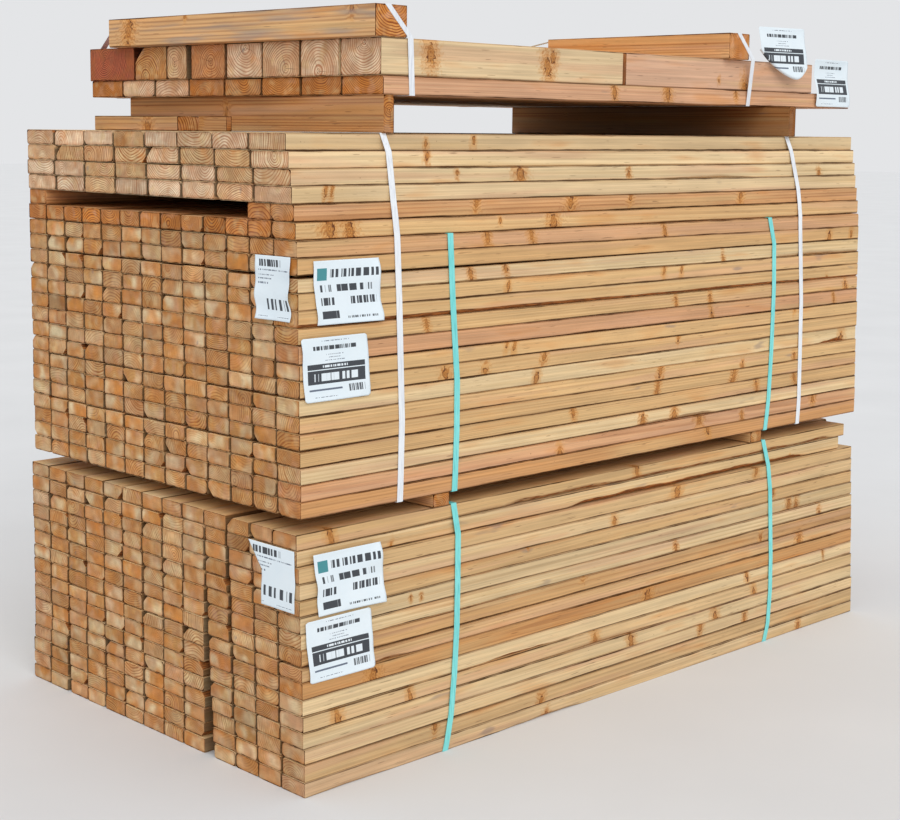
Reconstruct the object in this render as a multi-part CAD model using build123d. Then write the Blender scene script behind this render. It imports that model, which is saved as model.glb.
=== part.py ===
from build123d import *
from random import Random
import os

# Stack of sawn lumber, in millimetres. X runs along the boards, from the near ends.
# Y runs from the open long side to the back, and Z is up. The finished model is
# centred in X and Y, and stands on Z = 0.

# Boards
stud_length = 2343.0
stud_wide = 89.8
lower_thick = 39.45
upper_thick = 40.6
broad_wide = 140.9
eased_edge = 2.6
columns = 13
broad_columns = 8
courses = 16
broad_courses = 4
board_gap = 0.5
end_scatter = 3.0

# Lower unit
lean_gap = 12.0
splay = 24.0
top_set_back = 9.0
set_back_rows = 2
edge_spread = 12.0
leaning_column = 10
short_front_ends = {1: 37.0, 2: 66.0}

# Upper unit and the courses that ride on it
upper_near = 8.0
upper_front_top = 15.0
upper_front_bottom = 2.0
rider_front = 20.0
partial_front = 26.0
broad_near = 6.0
broad_fronts = (32.0, 38.0, 44.0, 55.0)
partial_wane = 16.0

# Stickers between the two units
sticker_thick = 35.0
sticker_wide = 60.0
sticker_near = 436.0
sticker_far = stud_length - 563.0
sticker_set_back = 6.0

# Spacers on the broad boards
spacer_wide = 38.0
spacer_tall = 92.0
spacer_near = 297.0
spacer_far = stud_length - 378.0
near_spacer_front = 47.0
near_spacer_length = 1069.0
far_spacer_front = 35.0
far_spacer_length = 1167.0
block_thick = 39.0
block_wide = 88.0
block_near = 160.0
block_back = 1085.0
long_block = 390.0
short_block = 115.0
short_block_wide = 20.0
block_parting = 95.0

# Top pack: a layer of planks, a layer of posts and two timbers across
pack_near = 295.0
pack_front = 50.0
pack_turn = 2.5
plank_thick = 46.0
plank_wide = 147.0
plank_length = 2165.0
plank_count = 8
post_thick = 90.0
post_wide = 143.0
post_length = 1940.0
wide_post = 212.0
slim_post = 88.0
post_gap = 2.5
slot_gap = 15.0
post_wane = 34.0
pale_beam = 944.0
beam_parting = 17.0
timber_thick = 77.0
timber_wide = 110.0
timber_near = -25.0
timber_length = 1060.0
far_timber_near = 1432.0
far_timber_length = 700.0

# Straps
strap_wide = 19.0
strap_thick = 0.9
strap_clear = 0.3
bed_clear = 1.0
bed_near = 461.0
bed_far_back = 494.0
bed_far = stud_length - bed_far_back

# Paper labels
label_wide = 205.0
label_tall = 150.0
label_thick = 0.5
label_clear = 0.3
lower_end_label_wide = 174.0
lower_end_label_fold = 49.0
lower_end_label_back = 190.0
lower_end_label_drop = 191.0
upper_end_label_wide = 127.0
upper_end_label_back = 166.0
upper_end_label_drop = 189.0
fold_share = 0.58
product_label_near = 43.0
product_label_drop = 203.0
product_label_slant = 16.0
order_label_near = 12.0
order_label_drop = 359.0
order_label_slant = 10.0
upper_label_slant = 8.0
upper_label_shift = 7.0
upper_label_rise = 5.0
upper_order_sink = 17.0
standing_label_back = 322.0
standing_label_swing = 34.0
standing_label_drop = 45.0
standing_label_slant = 18.0
hanging_label_back = 222.0
hanging_label_rise = 4.0
hanging_label_slant = 14.0

random = Random(11)
front_line = 1.0
pack_back = front_line + columns * (stud_wide + board_gap) - board_gap + lean_gap
strap_seat = strap_thick + 2 * strap_clear
sticker_level = courses * lower_thick
upper_level = sticker_level + sticker_thick
upper_top = upper_level + courses * upper_thick
rider_level = upper_top + strap_seat
partial_level = rider_level + upper_thick
broad_level = partial_level + upper_thick
spacer_level = broad_level + broad_courses * upper_thick
pack_level = spacer_level + spacer_tall
post_level = pack_level + plank_thick
timber_level = post_level + post_thick
timber_top = timber_level + timber_thick

nodes = {}


def board(near, length, front, wide, bottom, thick, corners=(), ease=eased_edge):
    """One sawn board along X with eased edges. corners gives a wane cut for some of
    the four corners, counted from the lower front one towards the back."""
    cuts = [ease] * 4
    for corner, cut in corners:
        cuts[corner] = min(cut, 0.45 * thick)
    lower_front, lower_back, upper_back, upper_front = cuts
    back = front + wide
    top = bottom + thick
    outline = [
        (front + lower_front, bottom),
        (back - lower_back, bottom),
        (back, bottom + lower_back),
        (back, top - upper_back),
        (back - upper_back, top),
        (front + upper_front, top),
        (front, top - upper_front),
        (front, bottom + lower_front),
    ]
    wire = Wire.make_polygon([Vector(near, y, z) for y, z in outline], close=True)
    return Solid.extrude(Face(wire), Vector(length, 0, 0))


def cross_board(near, wide, front, length, bottom, thick, ease=eased_edge):
    """A board that lies across the stack, along Y."""
    outline = [
        (near + ease, bottom),
        (near + wide - ease, bottom),
        (near + wide, bottom + ease),
        (near + wide, bottom + thick - ease),
        (near + wide - ease, bottom + thick),
        (near + ease, bottom + thick),
        (near, bottom + thick - ease),
        (near, bottom + ease),
    ]
    wire = Wire.make_polygon([Vector(x, front, z) for x, z in outline], close=True)
    return Solid.extrude(Face(wire), Vector(0, length, 0))


def wane():
    """A waney corner on about one board in seven, and square corners on the rest."""
    if random.random() < 0.15:
        return [(random.randrange(4), random.uniform(7.0, 15.0))]
    return []


def scatter():
    """How far a board's near end lies behind the face of its unit."""
    return end_scatter * random.random() ** 2


def spread_fronts(front, back, count, wide):
    """Front edges of evenly spread boards, from the back board to the front one."""
    pitch = (back - front - wide) / (count - 1)
    return [back - wide - pitch * index for index in range(count)]


def lower_down(row):
    """0 at the top of the lower unit's splayed rows and 1 at its bottom row."""
    return max(0.0, row - 3.0) / (courses - 3)


def lower_front(row):
    """Front face of the lower unit's splayed rows, from the third one down."""
    return front_line - splay * lower_down(row)


def lower_back(row):
    """Back face, where the two rearmost columns part from the rest in the lower half."""
    return pack_back + edge_spread * max(0.0, 2.0 * lower_down(row) - 1.0)


def lower_unit():
    """Sixteen courses. The leaning column touches the columns behind it at the top
    and the columns in front of it at the bottom."""
    pitch = stud_wide + board_gap
    for row in range(1, courses + 1):
        front_gap = lean_gap * (1.0 - lower_down(row))
        back_gap = (splay + lean_gap) * lower_down(row)
        if row <= set_back_rows:
            front_gap = lean_gap - top_set_back
        bottom = sticker_level - row * lower_thick
        solids = []
        for column in range(1, columns + 1):
            front = pack_back - column * pitch + board_gap
            if column <= 2:
                front += lower_back(row) - pack_back
            if column >= leaning_column:
                front -= back_gap
            if column > leaning_column:
                front -= front_gap
            length = stud_length
            if column == columns:
                length -= short_front_ends.get(row, 0.0)
            corners = wane() if row < courses else []
            piece = board(scatter(), length, front, stud_wide, bottom, lower_thick, corners)
            solids.append(piece)
        nodes[f"lower_course_{row:02d}"] = solids


def course(name, bottom, near, front, back, count, wide, length=stud_length):
    solids = []
    for edge in spread_fronts(front, back, count, wide):
        piece = board(near + scatter(), length, edge, wide, bottom, upper_thick, wane())
        solids.append(piece)
    nodes[name] = solids


def upper_front(row):
    """Front face of a course of the upper unit, which leans back as it rises."""
    rise = (courses - row) / (courses - 1)
    return upper_front_bottom + (upper_front_top - upper_front_bottom) * rise


def upper_unit():
    for row in range(1, courses + 1):
        bottom = upper_top - row * upper_thick
        course(f"upper_course_{row:02d}", bottom, upper_near, upper_front(row),
               pack_back, columns, stud_wide)
    course("rider_course", rider_level, upper_near, rider_front, pack_back,
           columns, stud_wide)


def partial_course():
    """Three studs only: one along the back and two along the front."""
    fronts = spread_fronts(partial_front, pack_back, columns, stud_wide)
    kept = ((fronts[0], []), (fronts[-2], []), (fronts[-1], [(1, partial_wane)]))
    nodes["partial_course"] = [
        board(upper_near + scatter(), stud_length, front, stud_wide, partial_level,
              upper_thick, corners)
        for front, corners in kept
    ]


def broad_unit():
    for index, front in enumerate(broad_fronts):
        bottom = broad_level + index * upper_thick
        course(f"broad_course_{broad_courses - index}", bottom, broad_near, front,
               pack_back, broad_columns, broad_wide)


def crosswise_pieces():
    length = pack_back - 2 * sticker_set_back
    for name, near in (("sticker_near", sticker_near), ("sticker_far", sticker_far)):
        nodes[name] = [cross_board(near, sticker_wide, sticker_set_back, length,
                                   sticker_level, sticker_thick)]
    nodes["spacer_near"] = [cross_board(spacer_near, spacer_wide, near_spacer_front,
                                        near_spacer_length, spacer_level, spacer_tall)]
    nodes["spacer_far"] = [cross_board(spacer_far, spacer_wide, far_spacer_front,
                                       far_spacer_length, spacer_level, spacer_tall)]
    front = block_back - long_block
    nodes["block_long"] = [cross_board(block_near, block_wide, front, long_block,
                                       spacer_level, block_thick)]
    front -= block_parting + short_block
    nodes["block_short"] = [cross_board(block_near, short_block_wide, front, short_block,
                                        spacer_level, block_thick)]


def in_pack(solid):
    """Carries a solid from the top pack's own axes, which start at its near front
    corner, to its place on the stack, turned a little."""
    place = Location((pack_near, pack_front, 0), (0, 0, pack_turn))
    return solid.moved(place)


def post_widths():
    return [post_wide] * 5 + [slim_post, post_wide, wide_post]


def top_pack():
    """The bottom planks, then the posts from the front beam to the back one."""
    fronts = post_fronts()
    pack_wide = fronts[-1] + wide_post
    planks = []
    for edge in spread_fronts(0.0, pack_wide, plank_count, plank_wide):
        planks.append(board(8.0 + scatter(), plank_length, edge, plank_wide,
                            pack_level, plank_thick, wane()))
    nodes["plank_layer"] = [in_pack(plank) for plank in planks]
    posts = []
    widths = post_widths()
    for index in range(1, len(widths)):
        corners = []
        if index == len(widths) - 2:
            corners = [(2, post_wane)]
        posts.append(board(scatter(), post_length, fronts[index], widths[index],
                           post_level, post_thick, corners))
    nodes["post_layer"] = [in_pack(post) for post in posts]
    pale = board(0.0, pale_beam, fronts[0], post_wide, post_level, post_thick)
    red_near = pale_beam + beam_parting
    red = board(red_near, post_length - red_near, fronts[0], post_wide, post_level,
                post_thick)
    nodes["front_beam_pale"] = [in_pack(pale)]
    nodes["front_beam_red"] = [in_pack(red)]
    near = cross_board(timber_near, timber_wide, -2.0, timber_length, timber_level,
                       timber_thick)
    far = cross_board(far_timber_near, timber_wide, -20.0, far_timber_length,
                      timber_level, timber_thick)
    nodes["timber_near"] = [in_pack(near)]
    nodes["timber_far"] = [in_pack(far)]


def post_fronts():
    """Front edges of the posts, with a slot in front of the slim one."""
    fronts = []
    edge = 0.0
    for index, wide in enumerate(post_widths()):
        if index == 5:
            edge += slot_gap
        fronts.append(edge)
        edge += wide + post_gap
    return fronts


def hull(points):
    """Convex outline of (y, z) points, anticlockwise from the lowest y."""
    ordered = sorted(set(points))
    halves = []
    for run in (ordered, ordered[::-1]):
        chain = []
        for point in run:
            while len(chain) > 1:
                (ay, az), (by, bz) = chain[-2:]
                turn = (by - ay) * (point[1] - az) - (bz - az) * (point[0] - ay)
                if turn > 1e-6:
                    break
                chain.pop()
            chain.append(point)
        halves.append(chain[:-1])
    return halves[0] + halves[1]


def drift(path, z):
    """X of a strap at height z, from its (z, x) points, highest first."""
    if z >= path[0][0]:
        return path[0][1]
    for (z0, x0), (z1, x1) in zip(path, path[1:]):
        if z >= z1:
            return x0 + (x1 - x0) * (z0 - z) / (z0 - z1)
    return path[-1][1]


def strap_loop(points, path):
    """Corners (x, y, z) of a strap drawn tight round points, in order. Its front leg
    wanders along X as path says, and its other legs run straight."""
    outline = hull(points)
    middle = sum(y for y, z in outline) / len(outline)
    lowest = min(z for y, z in outline)
    highest = max(z for y, z in outline)
    loop = []
    for (y, z), (next_y, next_z) in zip(outline, outline[1:] + outline[:1]):
        share = (highest - z) / (highest - lowest)
        straight = path[0][1] + (path[-1][1] - path[0][1]) * share
        loop.append((drift(path, z) if y < middle else straight, y, z))
        if max(y, next_y) > middle or next_z > z:
            continue
        for stop_z, stop_x in path:
            if next_z + 5.0 < stop_z < z - 5.0:
                stop_y = y + (next_y - y) * (stop_z - z) / (next_z - z)
                loop.append((stop_x, stop_y, stop_z))
    return loop


def strap(loop):
    """A flat band through the corners of loop, mitred at each of them."""
    half = Vector(strap_wide / 2, 0, 0)
    sections = []
    for before, (x, y, z), after in zip(loop[-1:] + loop, loop, loop[1:] + loop[:1]):
        # The loop runs anticlockwise, so its outside lies to the right of each run.
        arrive = Vector(0, z - before[2], before[1] - y).normalized()
        leave = Vector(0, after[2] - z, y - after[1]).normalized()
        outward = (arrive + leave).normalized()
        reach = outward / outward.dot(leave)
        inner = Vector(x, y, z) + reach * strap_clear
        outer = inner + reach * strap_thick
        sections.append((inner - half, inner + half, outer + half, outer - half))
    faces = []
    for one, two in zip(sections, sections[1:] + sections[:1]):
        for corner in range(4):
            side = (corner + 1) % 4
            ring = (one[corner], one[side], two[side], two[corner])
            if corner % 2 == 0:
                faces.append(Face(Wire.make_polygon(ring, close=True)))
            else:
                for triangle in (ring[:3], (ring[0], ring[2], ring[3])):
                    faces.append(Face(Wire.make_polygon(triangle, close=True)))
    return Solid(Shell(faces))


def strap_pair(points, near, far):
    return [strap(strap_loop(points, near)), strap(strap_loop(points, far))]


def from_far_ends(*path):
    """A strap's path, given by how far it lies from the studs' far ends."""
    return tuple((level, stud_length - back) for level, back in path)


def box_corners(front, back, bottom, top):
    return [(front, bottom), (front, top), (back, bottom), (back, top)]


def straps():
    lower = []
    upper = []
    for row in range(1, courses + 1):
        front = lower_front(row)
        if row <= set_back_rows:
            front += top_set_back
        bottom = sticker_level - row * lower_thick
        if row == courses:
            lower += box_corners(front, lower_back(row), strap_seat, lower_thick)
        else:
            lower += box_corners(front, lower_back(row), bottom, bottom + lower_thick)
        bottom = upper_top - row * upper_thick
        upper += box_corners(upper_front(row), pack_back, bottom, bottom + upper_thick)

    near = ((632, 513), (555, 522), (434, 517), (310, 510), (193, 498), (90, 483), (0, bed_near))
    far = from_far_ends((632, 489), (555, 470), (477, 460), (258, 458), (155, 462), (58, 475),
                        (0, bed_far_back))
    nodes["green_straps_lower"] = strap_pair(lower, near, far)
    near = ((1316, 496), (1148, 504), (946, 518), (819, 516), (666, 508))
    far = from_far_ends((1314, 488), (1237, 463), (1100, 460), (919, 467), (763, 478), (666, 493))
    nodes["green_straps_upper"] = strap_pair(upper, near, far)

    whole = upper + box_corners(rider_front, pack_back, rider_level, partial_level)
    whole += box_corners(partial_front, pack_back, partial_level, broad_level)
    for index, front in enumerate(broad_fronts):
        level = broad_level + index * upper_thick
        whole += box_corners(front, pack_back, level, level + upper_thick)
    near = ((1559, 303), (1515, 313), (1394, 314), (1160, 322), (865, 328), (666, 320))
    far = from_far_ends((1559, 359), (1507, 345), (1398, 327), (1297, 326), (1050, 312),
                        (751, 314), (666, 320))
    nodes["white_straps_upper"] = strap_pair(whole, near, far)

    pack_wide = post_fronts()[-1] + wide_post
    bundle = box_corners(0.0, pack_wide, pack_level, timber_level)
    stations = (
        (timber_near + 42.0, 98.0, -2.0, timber_length),
        (far_timber_near + 52.0, 1566.0, -20.0, far_timber_length),
    )
    solids = []
    for over, side, front, length in stations:
        timber = box_corners(front, front + length, timber_level + eased_edge, timber_top)
        path = ((timber_top, over), (timber_level, side), (pack_level, side + 6.0))
        solids.append(strap(strap_loop(bundle + timber, path)))
    nodes["white_straps_top"] = [in_pack(solid) for solid in solids]


def sheet(corners, thickness):
    """A flat paper label through its corners, thickened along a vector."""
    wire = Wire.make_polygon([Vector(*corner) for corner in corners], close=True)
    return Solid.extrude(Face(wire), thickness)


def end_label(face, back, top, wide, fold=0.0):
    """A label on the near ends. Its back edge is turned under by fold, up to where the
    upper back corner sticks out."""
    x = face - label_clear
    front = back - wide
    bottom = top - label_tall
    corners = [(x, front, bottom), (x, front, top), (x, back, top)]
    if fold:
        corners.append((x, back - fold, bottom + fold_share * label_tall))
    corners.append((x, back - fold, bottom))
    return sheet(corners, Vector(-label_thick, 0, 0))


def side_label(near, low_front, high_front, bottom, slant, swing=0.0):
    """A label on the long side, from low_front at its foot to high_front at its head.
    Its foot lies farther along X than its head, by slant. Its far edge stands out from
    the wood by swing."""
    low = low_front - label_clear
    high = high_front - label_clear
    far = near + (label_wide**2 - swing**2) ** 0.5
    top = bottom + label_tall
    corners = [(near + slant, low, bottom), (far + slant, low - swing, bottom),
               (far, high - swing, top), (near, high, top)]
    return sheet(corners, Vector(0, -label_thick, 0))


def unit_label(near, bottom, slant, top_level, thick, front_of_row):
    """A side label that follows the rows of a unit, whose faces step with height."""
    foot_row = 1 + (top_level - bottom) / thick
    head_row = 1 + (top_level - bottom - label_tall) / thick
    return side_label(near, front_of_row(foot_row), front_of_row(head_row), bottom, slant)


def labels():
    lower = (sticker_level, lower_thick, lower_front)
    nodes["labels_lower"] = [
        end_label(0.0, lower_end_label_back, sticker_level - lower_end_label_drop + label_tall,
                  lower_end_label_wide, lower_end_label_fold),
        unit_label(product_label_near, sticker_level - product_label_drop, product_label_slant,
                   *lower),
        unit_label(order_label_near, sticker_level - order_label_drop, order_label_slant, *lower),
    ]
    upper = (upper_top, upper_thick, upper_front)
    product_foot = upper_top - product_label_drop + upper_label_rise
    order_foot = upper_top - order_label_drop - upper_order_sink
    nodes["labels_upper"] = [
        end_label(upper_near, upper_end_label_back, upper_top - upper_end_label_drop + label_tall,
                  upper_end_label_wide),
        unit_label(product_label_near + upper_label_shift, product_foot, upper_label_slant,
                   *upper),
        unit_label(order_label_near, order_foot, upper_label_slant, *upper),
    ]
    standing = side_label(post_length - standing_label_back, 0.0, 0.0,
                          timber_level - standing_label_drop, standing_label_slant,
                          standing_label_swing)
    hanging = side_label(plank_length - hanging_label_back, 0.0, 0.0,
                         pack_level + hanging_label_rise, hanging_label_slant)
    nodes["labels_top"] = [in_pack(standing), in_pack(hanging)]


def strap_beds():
    """Shallow beds that the straps press into the underside of the bottom course."""
    name = f"lower_course_{courses:02d}"
    for station in (bed_near, bed_far):
        near = station - strap_wide / 2 - bed_clear
        bed = Solid.make_box(strap_wide + 2 * bed_clear, 2 * pack_back, strap_seat)
        bed = bed.moved(Location((near, -pack_back / 2, 0)))
        nodes[name] = [solid.cut(bed).solids()[0] for solid in nodes[name]]


lower_unit()
upper_unit()
partial_course()
broad_unit()
crosswise_pieces()
top_pack()
straps()
labels()
strap_beds()

everything = Compound(children=[Compound(solids) for solids in nodes.values()])
extent = everything.bounding_box()
centring = Location((-extent.center().X, -extent.center().Y, -extent.min.Z))
os.makedirs("parts", exist_ok=True)
for name, solids in nodes.items():
    placed = [solid.moved(centring) for solid in solids]
    export_step(Compound(placed) if len(placed) > 1 else placed[0], f"parts/{name}.step")
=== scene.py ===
import math
from functools import partialmethod
from random import Random

import bpy
import numpy as np
from mathutils import Matrix, Vector


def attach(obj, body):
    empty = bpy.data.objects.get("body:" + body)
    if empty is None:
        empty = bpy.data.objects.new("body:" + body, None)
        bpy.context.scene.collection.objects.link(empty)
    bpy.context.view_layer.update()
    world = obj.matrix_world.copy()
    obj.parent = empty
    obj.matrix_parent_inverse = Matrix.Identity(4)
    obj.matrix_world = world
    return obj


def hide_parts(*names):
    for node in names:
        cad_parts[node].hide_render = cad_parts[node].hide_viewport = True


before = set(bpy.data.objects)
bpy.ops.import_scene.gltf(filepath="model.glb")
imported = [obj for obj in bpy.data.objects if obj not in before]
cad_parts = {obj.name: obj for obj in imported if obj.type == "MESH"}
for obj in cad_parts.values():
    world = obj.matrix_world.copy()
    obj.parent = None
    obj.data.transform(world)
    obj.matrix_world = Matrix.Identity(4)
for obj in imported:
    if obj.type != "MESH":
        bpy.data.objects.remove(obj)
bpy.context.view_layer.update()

# Camera, solved from the stack's corners in the photograph
camera_place = Vector((-3.6623, -3.6144, 1.5688))
camera_yaw = math.radians(43.878)
camera_pitch = math.radians(-7.527)
camera_roll = math.radians(0.569)
picture_wide = 900
focal_pixels = 1681.8
shift_right_pixels = 20.0
shift_down_pixels = 57.4
sensor = 36.0

# CAD nodes, by how their boards lie or what they are
across_nodes = ("sticker_near", "sticker_far", "spacer_near", "spacer_far", "block_long",
                "block_short", "timber_near", "timber_far")
pack_nodes = ("plank_layer", "post_layer", "front_beam_pale", "front_beam_red",
              "timber_near", "timber_far")
strap_nodes = ("green_straps_lower", "green_straps_upper", "white_straps_upper",
               "white_straps_top")
label_nodes = ("labels_lower", "labels_upper", "labels_top")
course_counts = {"lower_course": 16, "upper_course": 16, "broad_course": 4}
pack_turn = math.radians(2.5)

# Shapes of boards, in metres. Each corner of a section is a side and a level.
board_corners = ((-1, -1), (1, -1), (1, 1), (-1, 1))
front_corners = (0, 3)
joint_steps = 0.0018
joint_shifts = 0.003
skin = 0.0006
side_depth = 0.0008
# How finely boards are drawn: points along them and steps round each arris
plain_stations = 12
hole_stations = 26
wane_stations = 90
arc_steps = 3
# Wane, torn corners and holes: how deep they are cut and how many boards have them
waney_cut = 0.005
wane_fade = 0.06
hole_share = 0.2
hole_cuts = (0.008, 0.019)
torn_share = 0.4
torn_cuts = (0.004, 0.012)
# How much of the setting back from its neighbours a rear board keeps
rear_share = 0.1

# Rings and knots, in metres or as shares. Boards over post_thick hold their log's pith.
# The near timber has orange heartwood above and pale sapwood with strong rings below.
post_thick = 0.06
ring_spacings = (0.0044, 0.008)
ring_contrasts = (0.25, 0.45, 0.75, 1.1)
timber_pith = (-0.012, 0.055)
timber_heart = 0.072
timber_contrast = 1.6
knot_count = 4
knot_tilt = 0.25
knot_flatness = 0.6
knot_swell = 1.1
knot_fade = 0.22
knot_nowhere = 50.0
no_knot = (-9.0, 0.0, 0.0)

# Looks of the wood: pairs of tones for early and late wood, and the painted joint shade at the
# rims of the ends
face_tones = {
    "sapwood": ((225, 197, 152), (200, 162, 112)),
    "heartwood": ((216, 177, 125), (180, 130, 80)),
    "red": ((216, 160, 122), (174, 102, 64)),
    "orange": ((206, 144, 84), (170, 102, 50)),
}
end_tones = {
    "sapwood": ((214, 183, 134), (152, 98, 54)),
    "heartwood": ((198, 148, 88), (138, 76, 34)),
    "red": ((204, 144, 104), (154, 84, 50)),
    "bleached": ((244, 226, 198), (188, 122, 90)),
    "orange": ((208, 132, 54), (140, 68, 18)),
}
deep_red_tones = ((184, 92, 60), (112, 46, 30))
knot_tones = ((154, 92, 38), (196, 134, 66))
bark_tones = ((72, 34, 12), (196, 122, 60))
cloud_tones = (((222, 202, 162), 0.75), ((204, 160, 128), 0.38), ((196, 120, 42), 0.6))
shade_step = 0.24
in_section = (0.0, 1.0, 1.0)
corner_radii = (0.0045, 0.0145)
rim_widths = (0.0006, 0.001)
joint_side_shade = 0.75

# How orange a node's wood is, or one of its boards by number, counted from the front. A
# share below 0 is for the ends alone.
orange_shares = {
    "rider_course": 0.75, "partial_course": 0.8, "spacer_near": 1.0, "spacer_far": 1.0,
    "block_long": 0.35, "block_short": 1.0, "timber_near": 0.75, "timber_far": 0.5,
    "plank_layer": 0.85, "sticker_near": 0.5, "sticker_far": 0.4,
    ("lower_course_10", 0): 0.5, ("upper_course_16", 0): 0.7, ("rider_course", 0): -0.7,
    ("partial_course", 0): 0.4, ("plank_layer", 0): -0.9, ("plank_layer", 2): 0.5,
    ("plank_layer", 5): -0.1, ("plank_layer", 6): -0.1,
}
# How a board's wood looks: shade, redness and weathering, each about 0 for a usual one
plain_look = (0.0, 0.0, 0.0)
node_looks = {
    "rider_course": (-0.1, 0.6, 0.0), "partial_course": (-0.2, 0.8, 0.0),
    "broad_course_1": (0.0, -0.5, 0.0), "broad_course_2": (0.05, -0.6, 0.0),
    "broad_course_3": (0.1, -0.65, 0.0), "broad_course_4": (0.1, -0.65, 0.0),
    # The far spacer's low shade is painted shade: it lies in the shadow under the top pack.
    "spacer_near": (-0.65, 0.3, 0.1), "spacer_far": (-2.0, 0.5, 0.0),
    "block_long": (-0.55, 0.0, 0.2), "block_short": (-1.0, 0.3, 0.0),
    "timber_near": (0.45, 0.1, 0.55), "timber_far": (0.7, 0.5, 0.0),
    "front_beam_pale": (0.1, -1.0, 0.0), "front_beam_red": (0.1, 1.6, 0.0),
    "plank_layer": (0.1, 0.3, 0.1), "post_layer": (0.1, 0.3, 0.1),
}
# Shade and redness of the top pack's pieces, counted from the front
piece_looks = {
    "post_layer": {0: (0.15, -0.95), 1: (0.15, -0.7), 2: (0.2, -1.0), 3: (0.2, 0.7),
                   4: (0.1, -0.6), 5: (0.3, -0.2), 6: (-0.3, 2.3)},
    "plank_layer": {1: (-0.2, 0.3), 2: (0.45, -0.1), 3: (-0.3, 0.3), 4: (-0.4, 0.6),
                    5: (0.3, -0.9), 6: (0.3, -0.9), 7: (-0.3, 0.3)},
}
# Shade and redness of front boards that the long face shows as unlike their neighbours
front_looks = {
    "rider_course": (0.2, 0.2), "upper_course_01": (0.0, 0.8), "upper_course_07": (-0.3, 1.1),
    "upper_course_15": (0.0, 0.9), "upper_course_16": (-0.1, 0.6),
    "lower_course_10": (0.0, 0.5), "plank_layer": (-0.1, 1.5),
}
# Knots that show on the front boards: millimetres along the board, height from its
# middle in hundredths of its thickness, and radius in millimetres
front_knots = {
    "timber": {"near": ((970, 0, 14), (720, 40, 4), (80, 42, 7))},
    "spacer": {"near": ((620, 10, 7),)},
    "block": {"long": ((460, 0, 6), (400, 10, 4))},
    "broad_course": {
        "1": ((440, -7, 5), (608, 13, 6)), "2": ((437, 22, 6),),
        "3": ((532, 17, 4), (762, 0, 13), (1202, 0, 6), (2138, -20, 6)),
        "4": ((102, 32, 4), (120, 25, 4)),
    },
    "partial": {"course": ((592, 25, 7), (949, 6, 10), (1199, 30, 6), (1712, 15, 8))},
    "rider": {"course": ((101, 5, 13), (163, -15, 12), (674, 20, 4), (876, 0, 13))},
    "upper_course": {
        "01": ((623, 17, 8), (787, 21, 8), (1340, 0, 6)), "02": ((2178, -7, 8), (2304, 20, 6)),
        "03": ((561, -7, 7), (689, 15, 6), (1615, -10, 5)),
        "04": ((696, -6, 6), (1337, 9, 6), (1416, 0, 5)),
        "06": ((407, 3, 6), (1394, 0, 6), (1554, 10, 6), (2271, 5, 7)), "08": ((690, 30, 6),),
        "09": ((469, -10, 9), (612, -30, 7), (834, 20, 7), (1405, 30, 5)),
        "10": ((807, 0, 8), (2255, -20, 11)),
        "11": ((1325, 5, 8), (1719, -35, 6), (1992, -30, 7)), "12": ((1312, 5, 7), (1674, -6, 9)),
        "13": ((1792, 3, 7), (1993, 20, 7)), "14": ((1249, -5, 9), (1394, 8, 9)),
        "15": ((900, -35, 7), (1512, 15, 10), (1723, -20, 6), (2102, 20, 8)),
        "16": ((1554, 20, 8),),
    },
    "lower_course": {
        "01": ((103, 10, 9), (1244, 20, 8)), "02": ((297, -40, 4),),
        "03": ((1422, -5, 13), (1813, 25, 9)), "04": ((1137, -18, 8),),
        "05": ((787, 40, 3), (1903, 0, 6)),
        "06": ((354, 5, 3), (390, 0, 3), (1985, -10, 10), (2024, -15, 8)), "07": ((1413, 0, 6),),
        "08": ((1834, -10, 6),), "09": ((2040, 5, 10),), "10": ((223, -20, 12), (1284, -30, 12)),
        "11": ((2182, -10, 4),),
        "12": ((344, -25, 7), (106, -40, 10), (1049, -20, 9), (1797, -30, 8)),
        "13": ((1602, -30, 10),), "14": ((1748, 0, 7),), "15": ((429, 40, 6),),
        "16": ((847, -35, 7), (2039, 10, 8)),
    },
    "plank": {"layer": ((900, 0, 8), (1150, 0, 11), (1500, 10, 6))},
    "front_beam": {"pale": ((170, 10, 14), (620, -10, 13), (640, 20, 10))},
}
# Wane along the lower front edge of front boards: depth, start and end along the board,
# and how much of it keeps its bark
front_wanes = {
    "lower_course_01": (0.007, 0.7, 2.25, 0.5),
    "lower_course_02": (0.011, 0.95, 2.1, 1.0),
    "lower_course_09": (0.006, 0.2, 0.36, 0.5),
    "lower_course_11": (0.007, 0.62, 0.88, 0.6),
    "lower_course_16": (0.007, 0.65, 1.0, 0.0),
    "upper_course_10": (0.014, 2.12, 2.3, 1.0),
    "upper_course_14": (0.006, 1.2, 1.6, 0.0),
}
# Courses that stand a little clear of the one above: by how much and how far along
loose_courses = {
    "upper_course_03": (0.004, 1.6), "upper_course_10": (0.003, 0.7),
    "upper_course_13": (0.0045, 0.45), "lower_course_09": (0.003, 1.2),
    "lower_course_02": (0.002, 1.6),
}

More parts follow.
